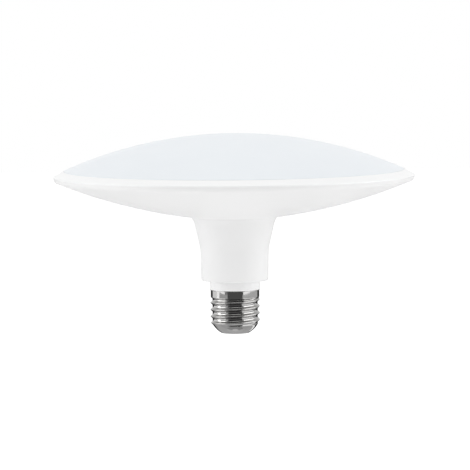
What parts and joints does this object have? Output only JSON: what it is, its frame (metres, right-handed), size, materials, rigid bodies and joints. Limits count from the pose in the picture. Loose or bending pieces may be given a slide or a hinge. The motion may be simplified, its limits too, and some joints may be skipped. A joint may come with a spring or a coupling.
{
  "type": "led bulb",
  "caption": "Wide disc-shaped LED bulb with a shallow opal dome, a white bowl that flares into a neck, and an Edison screw cap that holds and feeds it.",
  "frame": {"origin": "centre of the centre contact's flat, at the lamp's lowest point", "axes": "+Z along the lamp's axis from the cap to the dome; +X to the right and +Y away from the viewer in the picture"},
  "size_m": [0.192, 0.192, 0.1068],
  "materials": {
    "opal_plastic": "opal polycarbonate, satin",
    "white_moulding": "white flame-retardant moulding, satin",
    "ring_plastic": "white moulding, soft gloss",
    "nickel_plate": "nickel-plated sheet",
    "insulator_plastic": "black moulding",
    "contact_metal": "tinned brass",
    "tray_aluminium": "mill-finish sheet",
    "board_mask": "white solder mask on an aluminium core",
    "led_phosphor": "yellow phosphor in a white package",
    "screw_steel": "zinc-plated",
    "socket_plastic": "ivory nylon",
    "wire_red": "insulated wire",
    "wire_black": "insulated wire",
    "wire_brown": "insulated wire",
    "wire_blue": "insulated wire",
    "fibre_board": "green solder mask on glass fibre",
    "capacitor_sleeve": "shrunk sleeve",
    "ferrite": "sintered, matt",
    "winding_tape": "tape over the winding",
    "film_case": "moulded case",
    "chip_plastic": "moulded package",
    "resistor_coat": "coated ceramic",
    "varistor_coat": "dipped coat"
  },
  "bodies": {
    "root": {"centre_contact": "contact_metal", "cap_insulator": "insulator_plastic", "cap_shell": "nickel_plate", "housing": "white_moulding", "front_ring": "ring_plastic", "diffuser": "opal_plastic", "heat_spreader": "tray_aluminium", "led_board": "board_mask", "leds_inner": "led_phosphor", "leds_middle": "led_phosphor", "leds_outer": "led_phosphor", "board_screws": "screw_steel", "wire_socket": "socket_plastic", "output_wire_positive": "wire_red", "output_wire_negative": "wire_black", "live_wire": "wire_brown", "neutral_wire": "wire_blue", "driver_board": "fibre_board", "mains_capacitor": "capacitor_sleeve", "output_capacitor": "capacitor_sleeve", "fusible_resistor": "resistor_coat", "transformer_core": "ferrite", "transformer_winding": "winding_tape", "film_capacitor": "film_case", "bridge_rectifier": "chip_plastic", "driver_chip": "chip_plastic", "output_diode": "chip_plastic", "varistor": "varistor_coat"}
  },
  "joints": []
}
